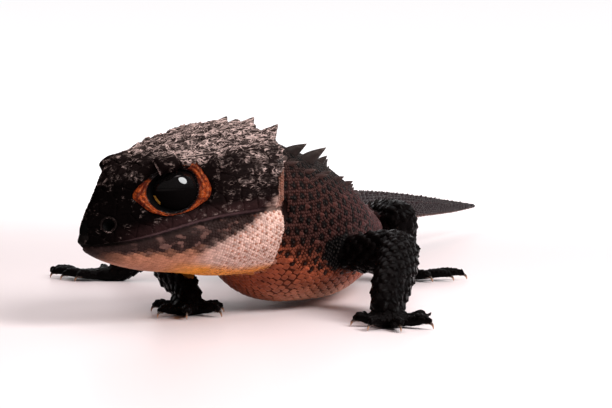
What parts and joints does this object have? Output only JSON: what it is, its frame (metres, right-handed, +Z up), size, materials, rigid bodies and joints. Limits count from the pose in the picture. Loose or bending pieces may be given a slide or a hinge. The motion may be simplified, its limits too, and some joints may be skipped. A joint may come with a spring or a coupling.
{
  "type": "red-eyed crocodile skink",
  "caption": "Still, life-size crocodile skink standing alert with its head turned, spiny back and tail, and orange-ringed eyes.",
  "frame": {"origin": "middle of the bounding box in X and Y, on the floor that the feet stand on", "axes": "+Z up; the trunk lies along Y with the head towards -Y and the tail towards +Y; +X is the animal's left"},
  "size_m": [0.0704, 0.1622, 0.0276],
  "materials": {
    "casque": "dark brown-black bony scales with grey keels, rough",
    "jaw": "pinkish tan scaly skin, satin",
    "eye": "wet glossy black",
    "back": "dark brown scaly skin with keeled spines",
    "limb": "black keeled scales, satin sheen"
  },
  "bodies": {
    "root": {"head": "casque", "lower_jaw": "jaw", "eye_left": "eye", "eye_right": "eye", "neck": "back", "torso": "back", "tail_base": "back", "tail_middle": "back", "tail_tip": "back", "upper_arm_left": "limb", "forearm_left": "limb", "hand_left": "limb", "upper_arm_right": "limb", "forearm_right": "limb", "hand_right": "limb", "thigh_left": "limb", "shin_left": "limb", "foot_left": "limb", "thigh_right": "limb", "shin_right": "limb", "foot_right": "limb"}
  },
  "joints": []
}
